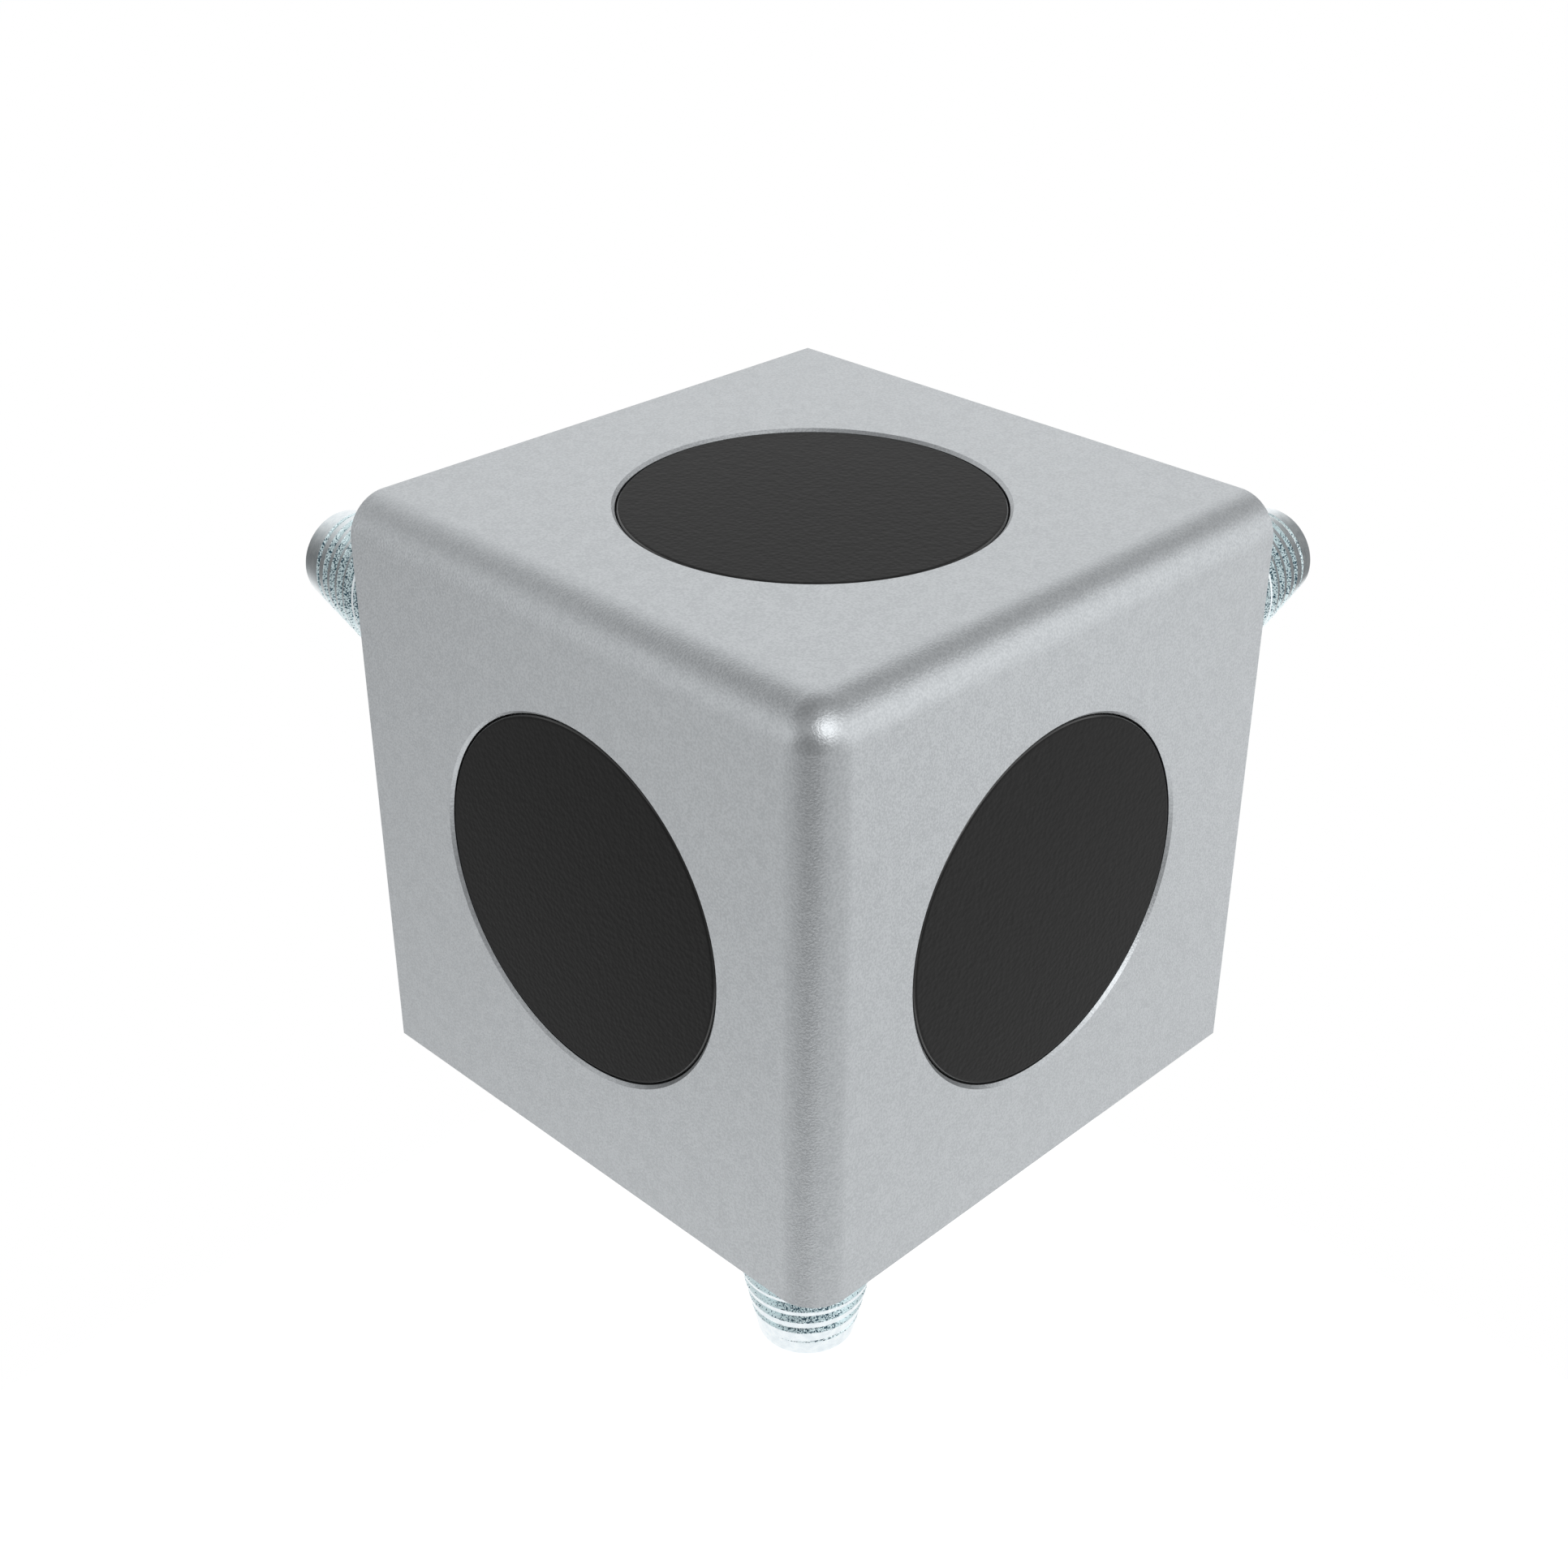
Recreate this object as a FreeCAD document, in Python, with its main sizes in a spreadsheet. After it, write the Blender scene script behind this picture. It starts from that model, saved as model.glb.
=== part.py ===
import FreeCAD, Part
import math
import os
import Sketcher

# Three-way cube connector: a die-cast cube, three thread-forming screws and three cover caps.
# The origin is the centre of the lower seat face, +Z is up, and sizes are in millimetres.
# The open, capped faces look along +X, +Y and +Z. The screws leave the seat faces along
# -X (left), -Y (front) and -Z (lower).

SIZES = (
    ("side", 45.0, "edge of the cube, the width of the profiles that it joins"),
    ("edge_radius", 3.0, "round of the three edges between the open faces"),
    ("opening_dia", 27.0, "opening that a cap's plate lies in"),
    ("opening_chamfer", 0.22, "broken edge round an opening"),
    ("ledge_width", 1.5, "ledge under the plate's rim"),
    ("head_gap", 0.8, "clearance round a screw head in its well"),
    ("main_core_step", 0.9, "how much wider the upright well is than the two that run into it"),
    ("seat_wall_left", 6.0, "wall under the left screw's head"),
    ("seat_wall_front", 6.7, "wall under the front screw's head"),
    ("seat_wall_lower", 12.6, "wall under the lower screw's head"),
    ("hole_gap", 0.75, "clearance round a screw in its hole"),
    ("hole_chamfer", 0.5, "chamfer where the hole meets the seat face"),
    ("screw_length", 43.0, "from under the head to the tip"),
    ("thread_dia", 12.0, "outside of the thread"),
    ("thread_depth", 0.7, "from the thread's outside to the plain neck"),
    ("neck_length", 2.0, "plain neck under the head"),
    ("taper_length", 8.8, "tapered end of the screw"),
    ("tip_dia", 8.2, "flat tip of the screw"),
    ("head_dia", 17.0, "screw head"),
    ("head_height", 4.8, "screw head"),
    ("head_chamfer", 0.8, "edge of the screw head"),
    ("recess_depth", 3.5, "six-lobe recess in the head"),
    ("recess_core_dia", 6.45, "recess, across its core"),
    ("recess_lobes_dia", 8.95, "recess, across its lobes"),
    ("lobe_dia", 2.0, "one lobe of the recess"),
    ("plate_thickness", 2.0, "cap's plate"),
    ("plate_sink", 0.12, "how far the plate lies below the cube's face"),
    ("plate_gap", 0.05, "clearance round the plate"),
    ("plate_chamfer", 0.35, "outer edge of the plate"),
    ("skirt_length", 5.0, "ring of tongues that holds the cap"),
    ("skirt_wall", 1.3, "thickness of the tongues"),
    ("skirt_gap", 0.08, "clearance between the tongues and their bore"),
    ("skirt_lead", 0.4, "lead-in chamfer at the end of the tongues"),
    ("skirt_end_gap", 0.5, "space left under the tongues"),
    ("slot_width", 3.0, "slot between two tongues"),
)
LOBES = 6
TONGUES = 4

# Levels along a well's axis, from the cube's centre, and radii that more than one piece uses.
FACE = "Sizes.side / 2"
LEDGE = "(Sizes.side / 2 - Sizes.plate_sink - Sizes.plate_thickness)"
OPENING_R = "(Sizes.opening_dia / 2)"
BORE_R = "(Sizes.opening_dia / 2 - Sizes.ledge_width)"
SIDE_WELL_R = "(Sizes.head_dia / 2 + Sizes.head_gap)"
THREAD_R = "(Sizes.thread_dia / 2)"
HOLE_R = "(Sizes.thread_dia / 2 + Sizes.hole_gap)"

doc = FreeCAD.newDocument("CubeConnector")


def make_sheet():
    """Writes the driving sizes, each with its name and what it measures."""
    sheet = doc.addObject("Spreadsheet::Sheet", "Sizes")
    for row, (name, value, note) in enumerate(SIZES, start=1):
        sheet.set(f"A{row}", note)
        sheet.set(f"B{row}", str(value))
        sheet.setAlias(f"B{row}", name)
    doc.recompute()


def origin_feature(body, role):
    """Finds one of the body's own planes or axes."""
    return next(item for item in body.Origin.OriginFeatures if item.Role == role)


def new_sketch(body, name, plane, level=None):
    """Starts a sketch on one of the body's planes, raised to a level where one is given."""
    sketch = body.newObject("Sketcher::SketchObject", name)
    sketch.AttachmentSupport = [(origin_feature(body, plane), "")]
    sketch.MapMode = "FlatFace"
    if level:
        sketch.setExpression("AttachmentOffset.Base.z", level)
    return sketch


def hold_point(sketch, geometry, point, place, at):
    """Holds a point at two sizes measured from the sketch's origin."""
    for kind, start, size in (("DistanceX", at.x, place[0]), ("DistanceY", at.y, place[1])):
        constraint = Sketcher.Constraint(kind, -1, 1, geometry, point, start)
        number = sketch.addConstraint(constraint)
        sketch.setExpression(f"Constraints[{number}]", size)


def draw_outline(sketch, corners):
    """Draws a closed outline of straight lines through the corners."""
    count = len(corners)
    turns = [2 * math.pi * index / count for index in range(count)]
    starts = [FreeCAD.Vector(math.cos(turn), math.sin(turn), 0) for turn in turns]
    for index in range(count):
        sketch.addGeometry(Part.LineSegment(starts[index], starts[(index + 1) % count]))
    for index in range(count):
        sketch.addConstraint(Sketcher.Constraint("Coincident", index, 2, (index + 1) % count, 1))
    for index, corner in enumerate(corners):
        hold_point(sketch, index, 1, corner, starts[index])


def draw_circle(sketch, centre, radius):
    """Draws a circle with its centre held at two sizes."""
    circle = Part.Circle(FreeCAD.Vector(0, 0, 0), FreeCAD.Vector(0, 0, 1), 1)
    sketch.addGeometry(circle)
    hold_point(sketch, 0, 3, centre, FreeCAD.Vector(0, 0, 0))
    number = sketch.addConstraint(Sketcher.Constraint("Radius", 0, 1))
    sketch.setExpression(f"Constraints[{number}]", radius)


def turn_profile(body, kind, sketch, axis):
    """Turns an outline a full circle about one of the sketch's axes, to add or to cut."""
    feature = body.newObject(f"PartDesign::{kind}", f"{kind}Of{sketch.Name}")
    feature.Profile = sketch
    feature.ReferenceAxis = (sketch, [axis])
    feature.Angle = 360
    sketch.Visibility = False
    doc.recompute()
    return feature


def cut_pocket(body, sketch, depth):
    """Sinks an outline into the body, against the sketch's normal."""
    before = body.Shape.Volume
    pocket = body.newObject("PartDesign::Pocket", f"PocketOf{sketch.Name}")
    pocket.Profile = sketch
    pocket.setExpression("Length", depth)
    doc.recompute()
    if body.Shape.Volume >= before:
        raise RuntimeError(f"{pocket.Name} cuts nothing")
    return pocket


def repeat_round_axis(body, feature, count):
    """Repeats a cut evenly round the body's upright axis."""
    pattern = body.newObject("PartDesign::PolarPattern", f"RingOf{feature.Name}")
    pattern.Originals = [feature]
    pattern.Axis = (origin_feature(body, "Z_Axis"), [""])
    pattern.Angle = 360
    pattern.Occurrences = count
    body.Tip = pattern
    doc.recompute()


def well_corners(seat_wall, well_r):
    """Half section of a well: hole, seat for the head, well, bore for the tongues and opening."""
    seat = f"({seat_wall} - {FACE})"
    shoulder = f"{LEDGE} - Sizes.skirt_length - Sizes.skirt_end_gap"
    return [
        ("0", "-Sizes.side"),
        (f"{HOLE_R} + Sizes.hole_chamfer", "-Sizes.side"),
        (f"{HOLE_R} + Sizes.hole_chamfer", f"-{FACE}"),
        (HOLE_R, f"Sizes.hole_chamfer - {FACE}"),
        (HOLE_R, seat),
        (well_r, seat),
        (well_r, shoulder),
        (BORE_R, shoulder),
        (BORE_R, LEDGE),
        (OPENING_R, LEDGE),
        (OPENING_R, f"{FACE} - Sizes.opening_chamfer"),
        (f"{OPENING_R} + Sizes.opening_chamfer", FACE),
        (f"{OPENING_R} + Sizes.opening_chamfer", "Sizes.side"),
        ("0", "Sizes.side"),
    ]


def make_cube():
    """Cast cube: a rounded block with three stepped wells that cross in the middle."""
    body = doc.addObject("PartDesign::Body", "cube_body")
    square = new_sketch(body, "Square", "XY_Plane")
    draw_outline(square, [
        (f"-{FACE}", f"-{FACE}"),
        (FACE, f"-{FACE}"),
        (FACE, FACE),
        (f"-{FACE}", FACE),
    ])
    block = body.newObject("PartDesign::Pad", "Block")
    block.Profile = square
    block.setExpression("Length", "Sizes.side")
    block.SideType = "Symmetric"
    doc.recompute()

    box = block.Shape.BoundBox
    open_corner = FreeCAD.Vector(box.XMax, box.YMax, box.ZMax)
    names = [
        f"Edge{number}"
        for number, edge in enumerate(block.Shape.Edges, start=1)
        if any(vertex.Point.distanceToPoint(open_corner) < 1e-6 for vertex in edge.Vertexes)
    ]
    rounds = body.newObject("PartDesign::Fillet", "OuterRounds")
    rounds.Base = (block, names)
    rounds.setExpression("Radius", "Sizes.edge_radius")
    doc.recompute()

    main_well_r = f"{SIDE_WELL_R} + Sizes.main_core_step"
    wells = (
        ("LowerWell", "XZ_Plane", "V_Axis", "Sizes.seat_wall_lower", main_well_r),
        ("FrontWell", "XY_Plane", "V_Axis", "Sizes.seat_wall_front", SIDE_WELL_R),
        ("LeftWell", "XY_Plane", "H_Axis", "Sizes.seat_wall_left", SIDE_WELL_R),
    )
    for name, plane, axis, seat_wall, well_r in wells:
        corners = well_corners(seat_wall, well_r)
        if axis == "H_Axis":
            corners = [(along, across) for across, along in corners]
        sketch = new_sketch(body, name, plane)
        draw_outline(sketch, corners)
        turn_profile(body, "Groove", sketch, axis)
    return body


def make_screw(name):
    """Screw with its seat plane at zero, its head above and its thread's outside below."""
    body = doc.addObject("PartDesign::Body", name)
    head_r = "Sizes.head_dia / 2"
    neck_r = f"({THREAD_R} - Sizes.thread_depth)"
    half = new_sketch(body, f"Half_{name}", "XZ_Plane")
    draw_outline(half, [
        ("0", "Sizes.head_height"),
        (f"{head_r} - Sizes.head_chamfer", "Sizes.head_height"),
        (head_r, "Sizes.head_height - Sizes.head_chamfer"),
        (head_r, "0"),
        (neck_r, "0"),
        (neck_r, "-Sizes.neck_length"),
        (THREAD_R, "-Sizes.neck_length - Sizes.thread_depth"),
        (THREAD_R, "Sizes.taper_length - Sizes.screw_length"),
        ("Sizes.tip_dia / 2", "-Sizes.screw_length"),
        ("0", "-Sizes.screw_length"),
    ])
    turn_profile(body, "Revolution", half, "V_Axis")

    core = new_sketch(body, f"Core_{name}", "XY_Plane", "Sizes.head_height")
    draw_circle(core, ("0", "0"), "Sizes.recess_core_dia / 2")
    cut_pocket(body, core, "Sizes.recess_depth")

    lobe = new_sketch(body, f"Lobe_{name}", "XY_Plane", "Sizes.head_height")
    draw_circle(lobe, ("(Sizes.recess_lobes_dia - Sizes.lobe_dia) / 2", "0"), "Sizes.lobe_dia / 2")
    repeat_round_axis(body, cut_pocket(body, lobe, "Sizes.recess_depth"), LOBES)
    return body


def make_cap(name):
    """Cover cap with its plate's underside at zero and its ring of tongues below."""
    body = doc.addObject("PartDesign::Body", name)
    plate_r = f"({OPENING_R} - Sizes.plate_gap)"
    skirt_r = f"({BORE_R} - Sizes.skirt_gap)"
    inner_r = f"({skirt_r} - Sizes.skirt_wall)"
    half = new_sketch(body, f"Half_{name}", "XZ_Plane")
    draw_outline(half, [
        ("0", "Sizes.plate_thickness"),
        (f"{plate_r} - Sizes.plate_chamfer", "Sizes.plate_thickness"),
        (plate_r, "Sizes.plate_thickness - Sizes.plate_chamfer"),
        (plate_r, "0"),
        (skirt_r, "0"),
        (skirt_r, "Sizes.skirt_lead - Sizes.skirt_length"),
        (f"{skirt_r} - Sizes.skirt_lead", "-Sizes.skirt_length"),
        (inner_r, "-Sizes.skirt_length"),
        (inner_r, "0"),
        ("0", "0"),
    ])
    turn_profile(body, "Revolution", half, "V_Axis")

    slot = new_sketch(body, f"Slot_{name}", "XY_Plane")
    draw_outline(slot, [
        ("0", "-Sizes.slot_width / 2"),
        (OPENING_R, "-Sizes.slot_width / 2"),
        (OPENING_R, "Sizes.slot_width / 2"),
        ("0", "Sizes.slot_width / 2"),
    ])
    repeat_round_axis(body, cut_pocket(body, slot, "Sizes.skirt_length"), TONGUES)
    return body


def place(body, axis, level):
    """Turns a piece so that its +Z lies along a well's axis, then sets its level from the centre."""
    turns = {
        "x": FreeCAD.Rotation(FreeCAD.Vector(0, 1, 0), 90),
        "y": FreeCAD.Rotation(FreeCAD.Vector(1, 0, 0), -90),
        "z": FreeCAD.Rotation(),
    }
    body.Placement = FreeCAD.Placement(FreeCAD.Vector(0, 0, 0), turns[axis])
    for letter in "xyz":
        along = level if letter == axis else "0"
        rise = f" + {FACE}" if letter == "z" else ""
        body.setExpression(f"Placement.Base.{letter}", f"{along}{rise}")


make_sheet()
pieces = [make_cube()]
place(pieces[0], "z", "0")
for node, axis, seat_wall in (
    ("lower_screw", "z", "Sizes.seat_wall_lower"),
    ("front_screw", "y", "Sizes.seat_wall_front"),
    ("left_screw", "x", "Sizes.seat_wall_left"),
):
    screw = make_screw(node)
    place(screw, axis, f"({seat_wall} - {FACE})")
    pieces.append(screw)
for node, axis in (("top_cap", "z"), ("rear_cap", "y"), ("right_cap", "x")):
    cap = make_cap(node)
    place(cap, axis, LEDGE)
    pieces.append(cap)
doc.recompute()

for item in doc.Objects:
    if "Invalid" in item.State or "Error" in item.State:
        raise RuntimeError(f"{item.Name} failed: {item.State}")
for piece in pieces:
    if piece.Shape.isNull() or not piece.Shape.isValid() or len(piece.Shape.Solids) != 1:
        raise RuntimeError(f"{piece.Label} has no single valid solid")

os.makedirs("parts", exist_ok=True)
for piece in pieces:
    piece.Shape.exportStep(f"parts/{piece.Label}.step")
    box = piece.Shape.BoundBox
    print(f"{piece.Label}: {piece.Shape.Volume:.1f} mm3, {box.XLength:.2f} x {box.YLength:.2f} x {box.ZLength:.2f}")
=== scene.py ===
import math

import bpy
from mathutils import Matrix, Vector


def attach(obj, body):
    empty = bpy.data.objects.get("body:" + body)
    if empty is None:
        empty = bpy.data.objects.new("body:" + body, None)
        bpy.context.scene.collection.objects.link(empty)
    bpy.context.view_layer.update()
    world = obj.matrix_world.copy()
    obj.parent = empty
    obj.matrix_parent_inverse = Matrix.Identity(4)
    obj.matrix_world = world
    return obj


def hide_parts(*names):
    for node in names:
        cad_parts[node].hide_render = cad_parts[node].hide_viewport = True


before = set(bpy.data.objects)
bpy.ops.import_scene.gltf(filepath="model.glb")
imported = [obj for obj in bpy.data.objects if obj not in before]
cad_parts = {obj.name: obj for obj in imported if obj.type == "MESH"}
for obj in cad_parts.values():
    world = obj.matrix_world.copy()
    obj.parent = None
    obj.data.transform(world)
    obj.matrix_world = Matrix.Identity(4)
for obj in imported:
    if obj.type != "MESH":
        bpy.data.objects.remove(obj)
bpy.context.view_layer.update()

# The picture is taken from above the rounded corner of the cast cube, with a 50 mm lens.
# Sizes are in metres, and the origin is the middle of the face that the lower screw leaves.
lens = bpy.data.cameras.new("camera")
lens.lens = 50
lens.sensor_width = 36
lens.clip_start = 0.01
camera = bpy.data.objects.new("camera", lens)
camera.location = (0.099328, 0.096597, 0.102582)
camera.rotation_euler = (math.radians(60), 0, math.radians(135))
bpy.context.scene.collection.objects.link(camera)
bpy.context.scene.camera = camera
bpy.context.scene.view_settings.view_transform = "Standard"


# The studio is a soft light tent. It is pale all round, brighter on the right, dim overhead, behind
# the camera and straight past the ends of the two level screws, and shows white in the picture.
# One broad lamp on the right gives the rounded corner its bright spot.
class Finish:
    """A socket of a node tree: sums with it add Math nodes, and add() brings in any other node."""

    def __init__(self, tree, socket=None):
        self.tree = tree
        self.socket = socket

    def add(self, kind, settings=None, sockets=None, out=0):
        """Adds a node, sets its settings, then fills or links its sockets."""
        node = self.tree.nodes.new(kind)
        for name, value in (settings or {}).items():
            setattr(node, name, value)
        for name, value in (sockets or {}).items():
            if isinstance(value, Finish):
                self.tree.links.new(value.socket, node.inputs[name])
            else:
                node.inputs[name].default_value = value
        return Finish(self.tree, node.outputs[out] if node.outputs else None)

    def maths(self, operation, first, second):
        return self.add("ShaderNodeMath", {"operation": operation}, {0: first, 1: second})

    def __add__(self, other):
        return self.maths("ADD", self, other)

    def __sub__(self, other):
        return self.maths("SUBTRACT", self, other)

    def __rsub__(self, other):
        return self.maths("SUBTRACT", other, self)

    def __mul__(self, other):
        return self.maths("MULTIPLY", self, other)

    __radd__ = __add__
    __rmul__ = __mul__

    def rise(self, low, high):
        """Goes smoothly from 0 at low to 1 at high."""
        return self.add(
            "ShaderNodeMapRange",
            {"interpolation_type": "SMOOTHSTEP"},
            {"Value": self, "From Min": low, "From Max": high},
        )


WHITE = (1, 1, 1, 1)
PAPER_GREY = (0.8, 0.8, 0.8, 1)
LAMP_WAY = Vector((0.323, 0.78, 0.536))
LAMP_AWAY = 0.8
LAMP_AIM = Vector((0.02, 0.02, 0.043))
FLOOR_SIZE = 0.6
FLOOR_LEVEL = -0.28

tent = bpy.data.worlds.new("light_tent")
tent.use_nodes = True
tent.node_tree.nodes.clear()
bpy.context.scene.world = tent
air = Finish(tent.node_tree)
outward = air.add("ShaderNodeTexCoord")


def toward(x, y, z):
    """How nearly a ray leaves the object in one direction, as a cosine."""
    direction = Vector((x, y, z)).normalized()
    ends = {0: outward, 1: direction}
    return air.add("ShaderNodeVectorMath", {"operation": "DOT_PRODUCT"}, ends, "Value")


walls = 0.87 + 0.15 * toward(-1, 1, 0) - 0.11 * toward(-1, -1, 0)
clear_of_camera = 1 - 0.94 * toward(0.85, 0.52, -0.02).rise(0.74, 0.84)
under_roof = 1 - 0.97 * toward(0.36, -0.14, 0.92).rise(0.56, 0.98)
beside_lamp = 1 - 0.86 * toward(-0.55, 0.19, 0.82).rise(0.79, 1)
above_ground = 1 - 0.58 * toward(0.44, 0.46, -0.77).rise(0.11, 0.57)
past_left = 1 - toward(0.18, -0.98, -0.11).rise(0.79, 1.06)
past_right = 1 - 0.85 * toward(-0.99, 0, -0.1).rise(0.86, 0.93)
wall_light = walls * clear_of_camera * under_roof * beside_lamp * above_ground
glow = (0.33 + wall_light) * past_left * past_right
seen = air.add("ShaderNodeLightPath", out="Is Camera Ray")
through = air.add("ShaderNodeLightPath", out="Is Transmission Ray")
white = seen.maths("MAXIMUM", seen, through)
brightness = white + (1 - white) * glow
tent_light = air.add("ShaderNodeBackground", {}, {"Color": WHITE, "Strength": brightness})
air.add("ShaderNodeOutputWorld", {}, {"Surface": tent_light})

bulb = bpy.data.lights.new("lamp", "AREA")
bulb.shape = "DISK"
bulb.size = 0.58
bulb.energy = 1.15
lamp = bpy.data.objects.new("lamp", bulb)
lamp.location = LAMP_AIM + LAMP_AWAY * LAMP_WAY
lamp.rotation_euler = LAMP_WAY.to_track_quat("Z", "Y").to_euler()
bpy.context.scene.collection.objects.link(lamp)

bpy.ops.object.select_all(action="DESELECT")
bpy.ops.mesh.primitive_plane_add(size=FLOOR_SIZE, location=(0, 0, FLOOR_LEVEL))
floor = bpy.context.object
floor.name = "floor"
paper = bpy.data.materials.new("white_paper")
paper.use_nodes = True
paper.node_tree.nodes.clear()
sheet = Finish(paper.node_tree)
matt = sheet.add("ShaderNodeBsdfDiffuse", {}, {"Color": PAPER_GREY})
looked_at = sheet.add("ShaderNodeLightPath", out="Is Camera Ray")
mirrored = sheet.add("ShaderNodeLightPath", out="Is Glossy Ray")
shown = looked_at.maths("MAXIMUM", looked_at, mirrored)
lift = sheet.add("ShaderNodeEmission", {}, {"Strength": 0.5 * shown})
lit = sheet.add("ShaderNodeAddShader", {}, {0: matt, 1: lift})
from_below = sheet.add("ShaderNodeNewGeometry", out="Backfacing")
gone = sheet.add("ShaderNodeBsdfTransparent")
one_sided = sheet.add("ShaderNodeMixShader", {}, {0: from_below, 1: lit, 2: gone})
sheet.add("ShaderNodeOutputMaterial", {}, {"Surface": one_sided})
floor.data.materials.append(paper)


# The cube is die-cast aluminium, blasted to a fine satin grain. Its three outer edges are rounded
# and meet in a ball corner. Three stepped wells cross in the middle, each with a round opening for
# a cap, a seat for a screw's head and a clearance hole.
SIDE = 0.045
FACE = SIDE / 2
EDGE_ROUND = 0.003
OPENING_R = 0.0135
OPENING_BREAK = 0.00022
LEDGE = FACE - 0.00212
BORE_R = 0.012
BORE_END = LEDGE - 0.0055
HOLE_R = 0.00675
HOLE_BREAK = 0.0005
OVERCUT = 0.0005
RIM_CUT = 0.0012
SATIN_DARK = (0.442, 0.462, 0.478, 1)
SATIN_PALE = (0.530, 0.552, 0.569, 1)
CENTRE = Vector((0, 0, FACE))
TURNS = {
    "x": Matrix.Rotation(math.radians(90), 4, "Y"),
    "y": Matrix.Rotation(math.radians(-90), 4, "X"),
    "z": Matrix.Identity(4),
}


def start_edit(obj):
    """Opens one object for editing, with nothing else selected."""
    bpy.ops.object.select_all(action="DESELECT")
    obj.select_set(True)
    bpy.context.view_layer.objects.active = obj
    bpy.ops.object.mode_set(mode="EDIT")


def turned(name, profile, sides=128):
    """A round form along Z: a disc drawn out through each (radius, level) of its profile."""
    radius, level = profile[0]
    bpy.ops.object.select_all(action="DESELECT")
    bpy.ops.mesh.primitive_circle_add(
        vertices=sides, radius=radius, fill_type="NGON", location=(0, 0, level)
    )
    obj = bpy.context.object
    obj.name = name
    bpy.ops.object.transform_apply(location=True)
    start_edit(obj)
    bpy.ops.mesh.select_all(action="SELECT")
    for next_radius, next_level in profile[1:]:
        rise = (0, 0, next_level - level)
        scale = next_radius / radius
        bpy.ops.mesh.extrude_region_move(TRANSFORM_OT_translate={"value": rise})
        bpy.ops.transform.resize(value=(scale, scale, 1), center_override=(0, 0, next_level))
        radius, level = next_radius, next_level
    bpy.ops.mesh.select_all(action="SELECT")
    bpy.ops.mesh.normals_make_consistent(inside=False)
    bpy.ops.object.mode_set(mode="OBJECT")
    return obj


def bake_place(obj, matrix):
    """Puts a piece in its place, with the place kept in its mesh."""
    obj.matrix_world = matrix
    bpy.ops.object.select_all(action="DESELECT")
    obj.select_set(True)
    bpy.context.view_layer.objects.active = obj
    bpy.ops.object.transform_apply(location=True, rotation=True, scale=True)


def cut_away(obj, cutter):
    """Cuts one form out of another, then clears the cutter away."""
    cut = obj.modifiers.new("cut", "BOOLEAN")
    cut.operation = "DIFFERENCE"
    cut.solver = "EXACT"
    cut.object = cutter
    bpy.context.view_layer.objects.active = obj
    bpy.ops.object.modifier_apply(modifier=cut.name)
    bpy.data.objects.remove(cutter)


def shade(obj, degrees):
    """Smooths the turned and rounded faces and keeps the flat ones flat."""
    bpy.ops.object.select_all(action="DESELECT")
    obj.select_set(True)
    bpy.context.view_layer.objects.active = obj
    bpy.ops.object.shade_smooth_by_angle(angle=math.radians(degrees))
    weighted = obj.modifiers.new("weighted", "WEIGHTED_NORMAL")
    weighted.keep_sharp = True
    bpy.ops.object.modifier_apply(modifier=weighted.name)


bpy.ops.object.select_all(action="DESELECT")
bpy.ops.mesh.primitive_cube_add(size=SIDE, location=CENTRE)
cube = bpy.context.object
cube.name = "cast_cube"
bpy.ops.object.transform_apply(location=True)
open_corner = Vector((SIDE / 2, SIDE / 2, SIDE))
start_edit(cube)
bpy.ops.mesh.select_mode(type="EDGE")
bpy.ops.mesh.select_all(action="DESELECT")
bpy.ops.object.mode_set(mode="OBJECT")
for edge in cube.data.edges:
    ends = [cube.data.vertices[number].co for number in edge.vertices]
    edge.select = any((end - open_corner).length < 1e-6 for end in ends)
bpy.ops.object.mode_set(mode="EDIT")
bpy.ops.mesh.bevel(offset=EDGE_ROUND, segments=16, affect="EDGES")
bpy.ops.object.mode_set(mode="OBJECT")

for axis, seat_wall, well in (("z", 0.0126, 0.0102), ("y", 0.0067, 0.0093), ("x", 0.006, 0.0093)):
    well_cutter = turned("well_cutter", (
        (HOLE_R + HOLE_BREAK + OVERCUT, -FACE - OVERCUT),
        (HOLE_R, -FACE + HOLE_BREAK),
        (HOLE_R, seat_wall - FACE),
        (well, seat_wall - FACE),
        (well, BORE_END),
        (BORE_R, BORE_END),
        (BORE_R, LEDGE),
        (OPENING_R, LEDGE),
        (OPENING_R, FACE - OPENING_BREAK),
        (OPENING_R + RIM_CUT, FACE - OPENING_BREAK + RIM_CUT),
    ))
    bake_place(well_cutter, Matrix.Translation(CENTRE) @ TURNS[axis])
    cut_away(cube, well_cutter)
shade(cube, 25)

casting = bpy.data.materials.new("blasted_aluminium")
casting.use_nodes = True
casting.node_tree.nodes.clear()
metal = Finish(casting.node_tree)
place = metal.add("ShaderNodeTexCoord", out="Object")
grain = metal.add("ShaderNodeTexNoise", {}, {"Vector": place, "Scale": 6500.0, "Detail": 1.0})
mottle = metal.add("ShaderNodeTexNoise", {}, {"Vector": place, "Scale": 900.0, "Detail": 2.0})
tone = (0.78 * grain + 0.22 * mottle).rise(0.34, 0.66)
silver = metal.add(
    "ShaderNodeMix",
    {"data_type": "RGBA"},
    {0: tone, 6: SATIN_DARK, 7: SATIN_PALE},
    2,
)
pits = metal.add(
    "ShaderNodeBump",
    {},
    {"Height": 0.7 * grain + 0.3 * mottle, "Distance": 0.00005, "Strength": 0.5},
)
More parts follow.
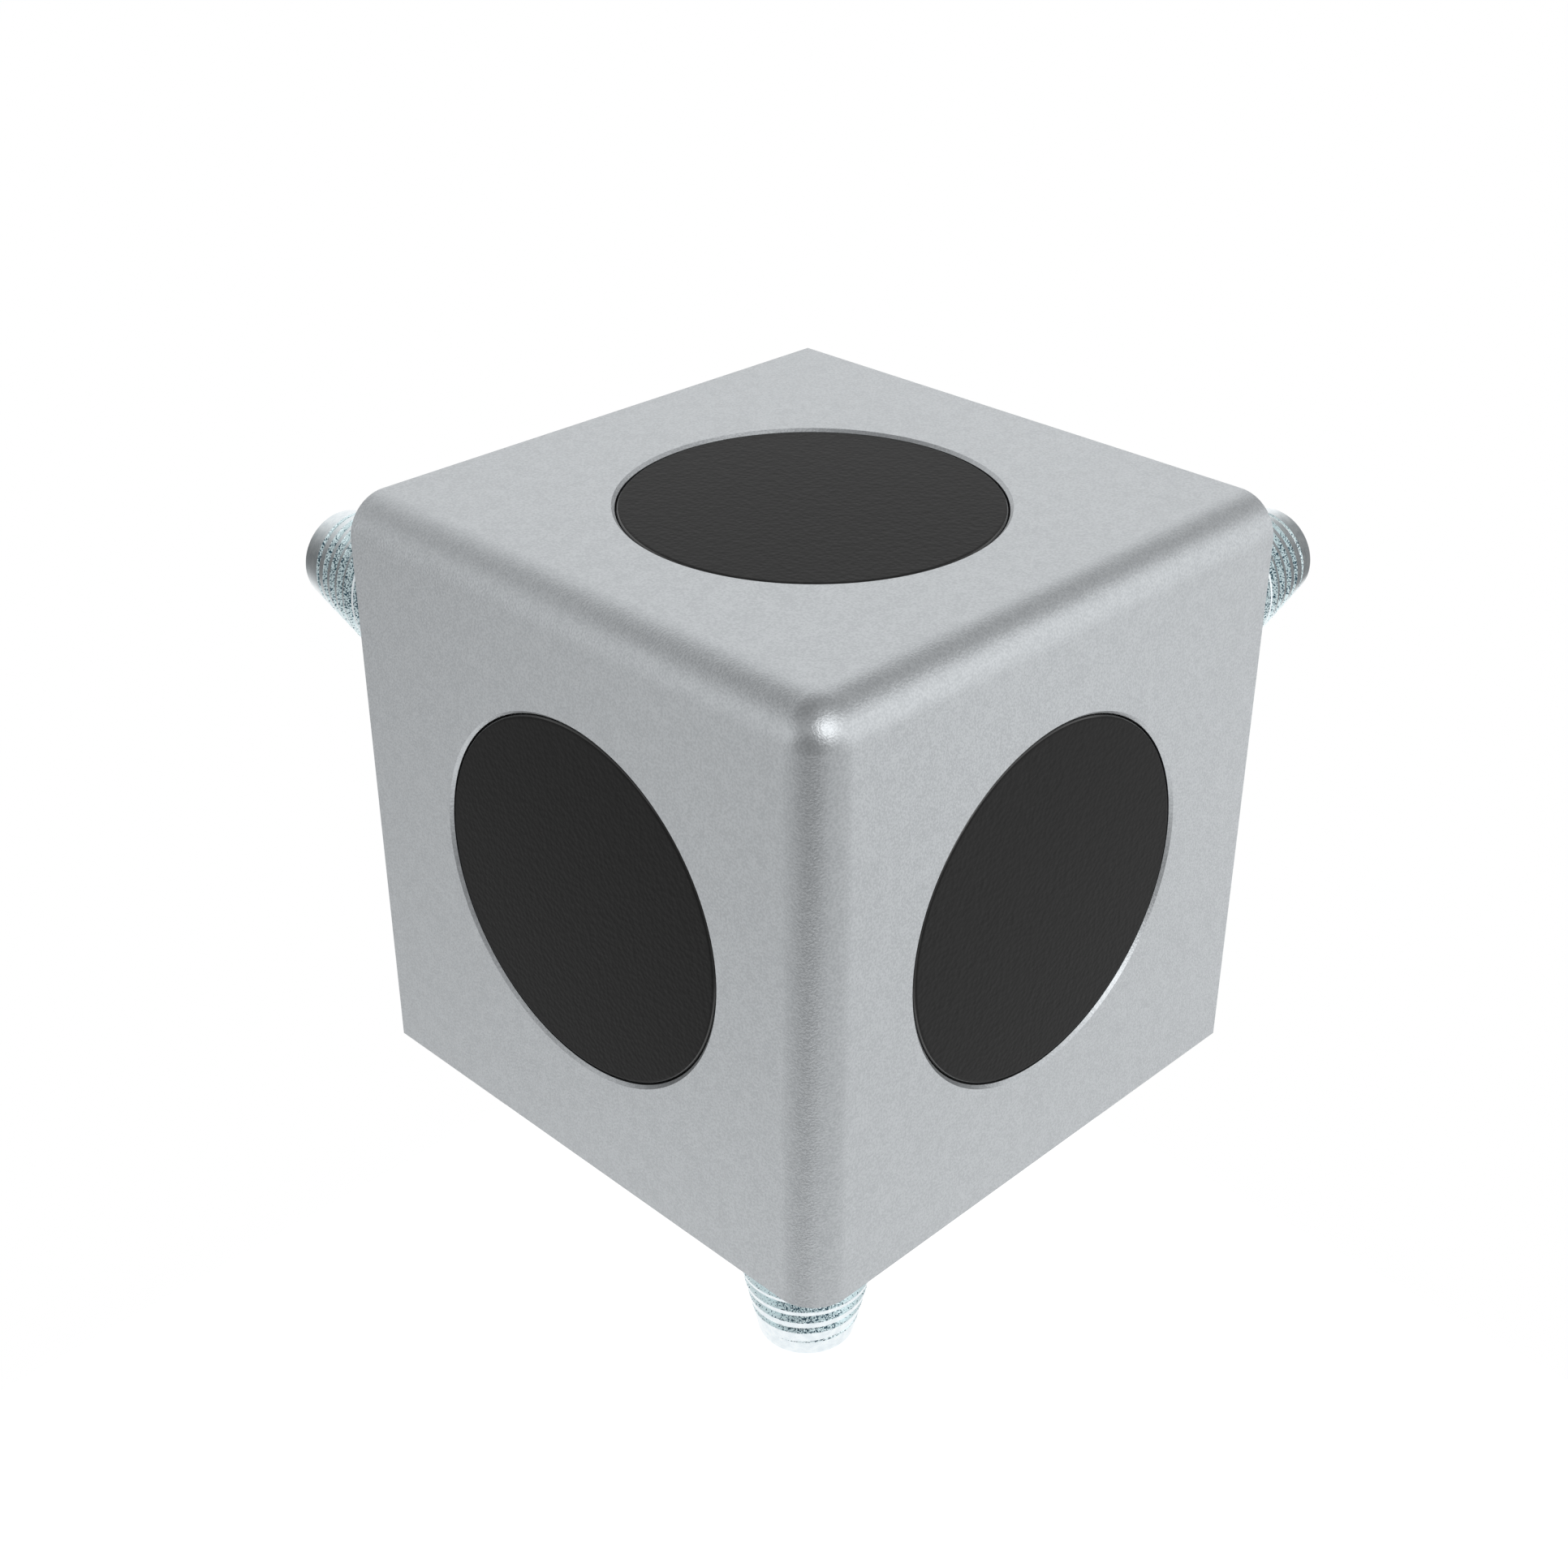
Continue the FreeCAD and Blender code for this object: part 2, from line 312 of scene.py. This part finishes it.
skin = metal.add(
    "ShaderNodeBsdfPrincipled",
    {},
    {"Base Color": silver, "Metallic": 1.0, "Roughness": 0.35 + 0.06 * grain, "Normal": pits},
)
metal.add("ShaderNodeOutputMaterial", {}, {"Surface": skin})
cube.data.materials.append(casting)
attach(cube, "root")
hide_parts("cube_body")


# A cap is moulded in black plastic with a fine leather grain: a round plate that fills the opening,
# its edge rounded and smooth enough to shine, and a ring of four tongues underneath that grips the
# bore.
PLATE_R = 0.01345
PLATE_TOP = 0.002
SKIRT_R = 0.01192
SKIRT_WALL = 0.0013
SKIRT_END = -0.005
SKIRT_LEAD = 0.0004
SLOT = 0.003
BLACK_DARK = (0.0045, 0.0045, 0.0045, 1)
BLACK_PALE = (0.008, 0.008, 0.008, 1)
cap = turned("cap_top", (
    (SKIRT_R - SKIRT_WALL, 0),
    (SKIRT_R - SKIRT_WALL, SKIRT_END),
    (SKIRT_R - SKIRT_LEAD, SKIRT_END),
    (SKIRT_R, SKIRT_END + SKIRT_LEAD),
    (SKIRT_R, 0),
    (PLATE_R, 0),
    (PLATE_R, PLATE_TOP - 0.00035),
    (PLATE_R - 0.00005, PLATE_TOP - 0.00017),
    (PLATE_R - 0.00017, PLATE_TOP - 0.00005),
    (PLATE_R - 0.00035, PLATE_TOP),
))
for turn in (0, 90):
    bpy.ops.object.select_all(action="DESELECT")
    bpy.ops.mesh.primitive_cube_add(size=1, scale=(0.04, SLOT, 0.006))
    slot_cutter = bpy.context.object
    slot_place = Matrix.Translation((0, 0, -0.00301)) @ Matrix.Rotation(math.radians(turn), 4, "Z")
    bake_place(slot_cutter, slot_place @ slot_cutter.matrix_world)
    cut_away(cap, slot_cutter)
shade(cap, 30)
lip = cap.data.attributes.new("lip", "FLOAT", "FACE")
for polygon, mark in zip(cap.data.polygons, lip.data):
    mark.value = float(0.00006 < PLATE_TOP - polygon.center.z < 0.00016)

plastic = bpy.data.materials.new("grained_black_plastic")
plastic.use_nodes = True
plastic.node_tree.nodes.clear()
mould = Finish(plastic.node_tree)
spot = mould.add("ShaderNodeTexCoord", out="Object")
waver = mould.add("ShaderNodeTexNoise", {}, {"Vector": spot, "Scale": 1500.0, "Detail": 2.0})
cells = mould.add("ShaderNodeTexVoronoi", {}, {"Vector": spot, "Scale": 2700.0})
leather = 0.6 * cells + 0.6 * waver
polished = mould.add("ShaderNodeAttribute", {"attribute_name": "lip"}, out="Fac")
dark = mould.add(
    "ShaderNodeMix",
    {"data_type": "RGBA"},
    {0: waver.rise(0.35, 0.65), 6: BLACK_DARK, 7: BLACK_PALE},
    2,
)
dents = mould.add("ShaderNodeBump", {}, {"Height": leather, "Distance": 0.00006, "Strength": 0.6})
surface = mould.add(
    "ShaderNodeBsdfPrincipled",
    {},
    {
        "Base Color": dark,
        "Roughness": 0.48 + 0.1 * waver,
        "Specular IOR Level": 0.16,
        "Coat Weight": polished,
        "Coat Roughness": 0.12,
        "Normal": dents,
    },
)
mould.add("ShaderNodeOutputMaterial", {}, {"Surface": surface})
cap.data.materials.append(plastic)

caps = [cap]
for name in ("cap_rear", "cap_right"):
    twin = cap.copy()
    twin.data = cap.data.copy()
    twin.name = name
    bpy.context.scene.collection.objects.link(twin)
    caps.append(twin)
for piece, axis, node in zip(caps, "zyx", ("top_cap", "rear_cap", "right_cap")):
    seated = Matrix.Translation(CENTRE) @ TURNS[axis] @ Matrix.Translation((0, 0, LEDGE))
    bake_place(piece, seated)
    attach(piece, "root")
    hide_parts(node)


# The screws are zinc-plated steel with a thread-forming end. The thread is a flat-bottomed groove
# cut round a bar with a tapered end, so it has no depth at the plain tip and its full depth past
# the taper. The head has a six-lobe recess and lies on its seat inside the cube. The plating is
# smooth on the bar and roughened in the groove, where it shows a speckle of dark and pale crystals.
# On one side of each bar the groove has extra dark crystals and a stronger bump: the extra dark
# crystals are painted shade, a dark reflection painted into the colour, with fewer round the bar.
BAR_R = 0.006
TIP_R = 0.0041
TIP_EDGE = 0.0002
TAPER = 0.0088
LENGTH = 0.043
SHOULDER = LENGTH - 0.0027
PITCH = 0.00155
ROOT_HALF = 0.00022
FLANK = 0.45
RUN_IN = 0.00008
STEPS = 96
ROUNDS = 28
NECK_R = 0.0053
HEAD_R = 0.0085
HEAD_TOP = 0.0048
HEAD_BREAK = 0.0008
RECESS_FLOOR = 0.0013
RECESS_R = 0.003225
LOBE_R = 0.001
LOBE_OUT = 0.003475
ZINC_DARK = (0.70, 0.76, 0.79, 1)
ZINC_PALE = (0.80, 0.85, 0.87, 1)
# Painted shade: the side of each screw, across its axis, whose groove gets extra dark crystals that
# stand in for a dark reflection, and a stronger bump.
COARSE_AND_SHADED_SIDE = Vector((0.64, 0.72, 0.2))
DARK_CRYSTAL_AND_SHADE = (0.05, 0.11, 0.15, 1)
CRYSTAL_PALE = (0.87, 0.98, 1.0, 1)


def bar_radius(along):
    """The bar's radius before the thread is cut, at a distance from its tip."""
    return min(BAR_R, TIP_R + (BAR_R - TIP_R) * along / TAPER)


def root_radius(along):
    """Radius of the groove's floor, which is lower in the tapered end."""
    return min(0.00508, max(0.00446, 0.00385 + 0.135 * along))


def thread_point(middle, column):
    """(distance from the tip, radius) on one line of the groove: edge, floor, floor, edge."""
    side = -1 if column < 2 else 1
    root = root_radius(middle)
    floor_half = ROOT_HALF * min(max((bar_radius(middle) - root) / RUN_IN, 0), 1)
    reach = floor_half
    if column in (0, 3):
        for _ in range(12):
            depth = bar_radius(middle + side * reach) - root
            reach = floor_half + max(0, depth) * FLANK
    along = min(max(middle + side * reach, TIP_EDGE), SHOULDER)
    groove = root + max(0, abs(along - middle) - floor_half) / FLANK
    return along, min(bar_radius(along), groove)


def draw_ring(obj, level, radius):
    """Draws the selected ring out to a new level, and to a radius for each angle round the axis."""
    bpy.ops.mesh.extrude_region_move(TRANSFORM_OT_translate={"value": (0, 0, 0)})
    bpy.ops.object.mode_set(mode="OBJECT")
    for vertex in obj.data.vertices:
        if vertex.select:
            angle = math.atan2(vertex.co.y, vertex.co.x)
            reach = radius(angle)
            vertex.co = (reach * math.cos(angle), reach * math.sin(angle), level)
    bpy.ops.object.mode_set(mode="EDIT")


def recess_radius(angle):
    """Outline of the six-lobe recess."""
    lobe = (angle + math.pi / 6) % (math.pi / 3) - math.pi / 6
    aside = LOBE_OUT * math.sin(lobe)
    if abs(aside) >= LOBE_R:
        return RECESS_R
    return max(RECESS_R, LOBE_OUT * math.cos(lobe) + math.sqrt(LOBE_R**2 - aside**2))


def mark_shaded_side(obj, axis):
    """Marks how nearly each point of a seated screw lies on the side of its axis that gets painted
    shade and a stronger bump.
    """
    across = Vector([float(letter != axis) for letter in "xyz"])
    coarsest_and_shaded = (COARSE_AND_SHADED_SIDE * across).normalized()
    shaded_side_marks = obj.data.attributes.new("side", "FLOAT", "POINT")
    for vertex, mark in zip(obj.data.vertices, shaded_side_marks.data):
        outward = ((vertex.co - CENTRE) * across).normalized()
        mark.value = outward.dot(coarsest_and_shaded)


bpy.ops.object.select_all(action="DESELECT")
bpy.ops.mesh.primitive_grid_add(x_subdivisions=4, y_subdivisions=STEPS * ROUNDS, size=1)
screw = bpy.context.object
screw.name = "screw_lower"
cut = screw.data.attributes.new("cut", "FLOAT", "FACE")
for polygon, mark in zip(screw.data.polygons, cut.data):
    mark.value = float(polygon.center.x < 0.25)
for vertex in screw.data.vertices:
    column = round((vertex.co.x + 0.5) * 4)
    row = round((vertex.co.y + 0.5) * STEPS * ROUNDS)
    middle = (row / STEPS - 1) * PITCH
    if column == 4:
        along, radius = thread_point(middle + PITCH, 0)
    else:
        along, radius = thread_point(middle, column)
    angle = 2 * math.pi * row / STEPS
    vertex.co = (radius * math.cos(angle), radius * math.sin(angle), along - LENGTH)
start_edit(screw)
bpy.ops.mesh.select_all(action="SELECT")
bpy.ops.mesh.remove_doubles(threshold=0.0000005)
bpy.ops.mesh.dissolve_degenerate(threshold=0.0000005)
bpy.ops.mesh.select_mode(type="EDGE")
for start, rings in (
    (TIP_EDGE - LENGTH, ((-LENGTH, TIP_R - TIP_EDGE),)),
    (SHOULDER - LENGTH, (
        (-0.002, NECK_R),
        (0, NECK_R),
        (0, HEAD_R),
        (HEAD_TOP - HEAD_BREAK, HEAD_R),
        (HEAD_TOP, HEAD_R - HEAD_BREAK),
        (HEAD_TOP, recess_radius),
        (RECESS_FLOOR, recess_radius),
    )),
):
    bpy.ops.mesh.select_all(action="DESELECT")
    bpy.ops.mesh.select_non_manifold()
    bpy.ops.object.mode_set(mode="OBJECT")
    heights = [vertex.co.z for vertex in screw.data.vertices]
    for edge in screw.data.edges:
        if edge.select:
            edge.select = all(abs(heights[number] - start) < 1e-6 for number in edge.vertices)
    for vertex in screw.data.vertices:
        vertex.select = False
    for polygon in screw.data.polygons:
        polygon.select = False
    for edge in screw.data.edges:
        if edge.select:
            for number in edge.vertices:
                screw.data.vertices[number].select = True
    bpy.ops.object.mode_set(mode="EDIT")
    for level, size in rings:
        draw_ring(screw, level, size if callable(size) else lambda angle, size=size: size)
    bpy.ops.mesh.edge_face_add()
bpy.ops.mesh.select_all(action="SELECT")
bpy.ops.mesh.normals_make_consistent(inside=False)
bpy.ops.object.mode_set(mode="OBJECT")
shade(screw, 30)

plating = bpy.data.materials.new("bright_zinc")
plating.use_nodes = True
plating.node_tree.nodes.clear()
zinc = Finish(plating.node_tree)
round_bar = zinc.add("ShaderNodeTexCoord", out="Object")
groove = zinc.add("ShaderNodeAttribute", {"attribute_name": "cut"}, out="Fac")
crystals = zinc.add("ShaderNodeTexNoise", {}, {"Vector": round_bar, "Scale": 7000.0, "Detail": 2.0})
haze = zinc.add("ShaderNodeTexNoise", {}, {"Vector": round_bar, "Scale": 1500.0, "Detail": 3.0})
side = zinc.add("ShaderNodeAttribute", {"attribute_name": "side"}, out="Fac")
# Painted shade: more dark crystals in the groove on the marked side of each bar stand in for the
# dark reflection there; the same mark also strengthens the bump.
coarse_and_shaded = side.rise(0.74, 0.94)
speckle_and_painted_shade = (crystals + 0.08 - 0.095 * coarse_and_shaded).rise(0.41, 0.49)
bright = zinc.add(
    "ShaderNodeMix",
    {"data_type": "RGBA"},
    {0: haze.rise(0.3, 0.7), 6: ZINC_DARK, 7: ZINC_PALE},
    2,
)
groove_colour_and_shade = zinc.add(
    "ShaderNodeMix",
    {"data_type": "RGBA"},
    {0: speckle_and_painted_shade, 6: DARK_CRYSTAL_AND_SHADE, 7: CRYSTAL_PALE},
    2,
)
colour = zinc.add("ShaderNodeMix", {"data_type": "RGBA"}, {0: groove, 6: bright, 7: groove_colour_and_shade}, 2)
tooth = zinc.add(
    "ShaderNodeBump",
    {},
    {
        "Height": groove * crystals * (0.4 + 0.6 * coarse_and_shaded) + 0.03 * haze,
        "Distance": 0.00012,
        "Strength": 1.0,
    },
)
coat = zinc.add(
    "ShaderNodeBsdfPrincipled",
    {},
    {
        "Base Color": colour,
        "Metallic": 1.0,
        "Roughness": 0.2 + 0.06 * haze + 0.12 * groove,
        "Normal": tooth,
    },
)
zinc.add("ShaderNodeOutputMaterial", {}, {"Surface": coat})
screw.data.materials.append(plating)

screws = [screw]
for name in ("screw_front", "screw_left"):
    twin = screw.copy()
    twin.data = screw.data.copy()
    twin.name = name
    bpy.context.scene.collection.objects.link(twin)
    screws.append(twin)
for piece, axis, seat_wall, start, node in zip(
    screws,
    "zyx",
    (0.0126, 0.0067, 0.006),
    (-16, 45, 0),
    ("lower_screw", "front_screw", "left_screw"),
):
    turn = Matrix.Rotation(math.radians(start), 4, "Z")
    seated = Matrix.Translation((0, 0, seat_wall - FACE)) @ turn
    bake_place(piece, Matrix.Translation(CENTRE) @ TURNS[axis] @ seated)
    mark_shaded_side(piece, axis)
    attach(piece, "root")
    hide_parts(node)
